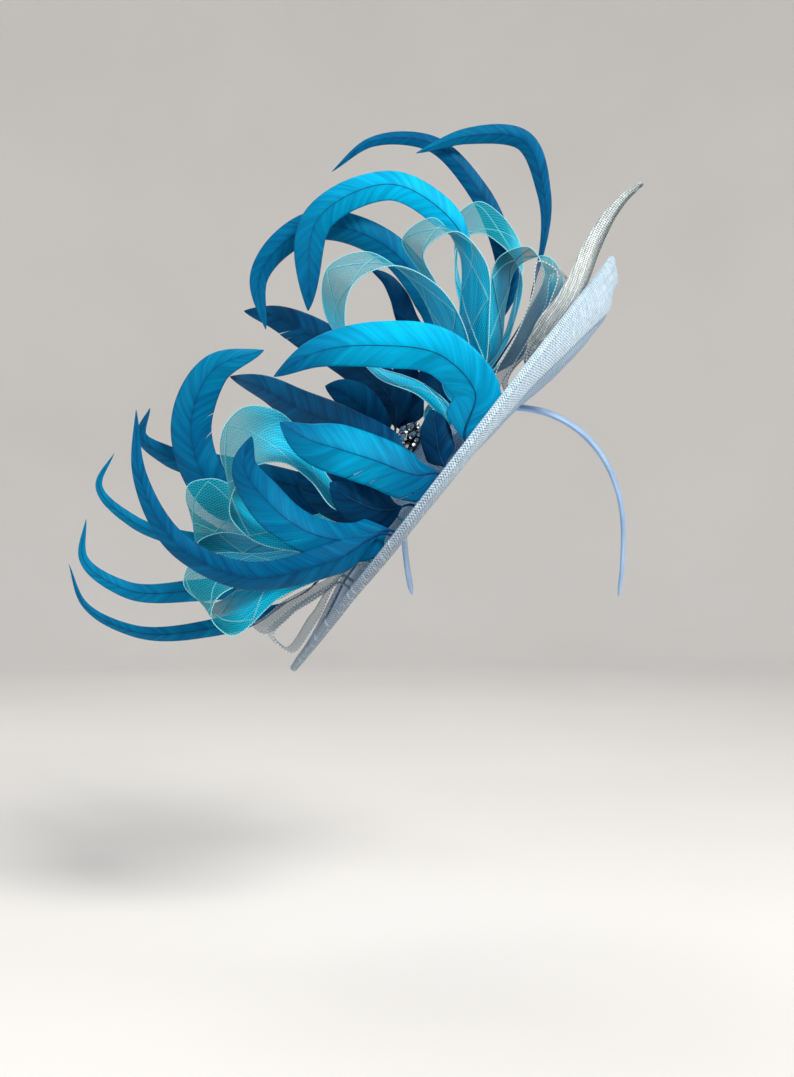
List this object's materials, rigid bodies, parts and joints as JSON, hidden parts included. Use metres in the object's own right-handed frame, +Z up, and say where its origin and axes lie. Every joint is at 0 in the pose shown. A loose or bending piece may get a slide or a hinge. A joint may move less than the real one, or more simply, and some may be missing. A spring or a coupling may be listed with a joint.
{
  "type": "fascinator",
  "caption": "Headband fascinator: pointed, tilted sinamay saucer with bound rim, carrying fans of curled feathers and crin loops round a stone brooch",
  "frame": {"origin": "inside of the headband at its top, where it sits on the crown of the head", "axes": "+Z up, +X to the wearer's left, which is the viewer's right from the front, -Y the way the wearer faces"},
  "size_m": [0.3696, 0.221, 0.3664],
  "materials": {
    "satin": "padded satin wrap",
    "sinamay_blue": "stiffened woven straw cloth, powder blue",
    "sinamay_ivory": "stiffened woven straw cloth, silver ivory",
    "crin_turquoise": "sheer tubular horsehair braid",
    "crin_grey": "sheer horsehair braid with metallic edge",
    "feather": "dyed curled feather vane",
    "brooch_metal": "dark plated cluster setting",
    "clear_stone": "clear cut stone"
  },
  "bodies": {
    "root": {"headband": "satin", "sinamay_base": "sinamay_blue", "rim_binding": "sinamay_blue", "sinamay_leaf": "sinamay_ivory", "crin_loop_top_left": "crin_turquoise", "crin_loop_top_middle": "crin_turquoise", "crin_loop_top_right": "crin_turquoise", "crin_loop_top_back": "crin_turquoise", "grey_crin_loop_upper": "crin_grey", "crin_loop_side_front": "crin_turquoise", "crin_loop_side_back": "crin_turquoise", "crin_loop_low": "crin_turquoise", "grey_crin_loop_middle": "crin_grey", "grey_crin_loop_low": "crin_grey", "feather_upper_front": "feather", "feather_middle_front": "feather", "feather_middle_back": "feather", "feather_side_arch": "feather", "feather_low_front": "feather", "feather_side_far": "feather", "feather_side_left": "feather", "feather_low_left": "feather", "feather_low_end": "feather", "feather_top_arch": "feather", "feather_top_stem": "feather", "feather_top_bright": "feather", "feather_top_teal": "feather", "feather_inner_upper": "feather", "feather_inner_middle": "feather", "feather_inner_short": "feather", "feather_inner_broad": "feather", "feather_inner_root": "feather", "feather_inner_corner": "feather", "feather_lower_root": "feather", "feather_lower_back": "feather", "feather_inner_lower": "feather", "brooch_setting": "brooch_metal", "brooch_stone_00": "clear_stone", "brooch_stone_01": "clear_stone", "brooch_stone_02": "clear_stone", "brooch_stone_03": "clear_stone", "brooch_stone_04": "clear_stone", "brooch_stone_05": "clear_stone", "brooch_stone_06": "clear_stone", "brooch_stone_07": "clear_stone"}
  },
  "joints": []
}
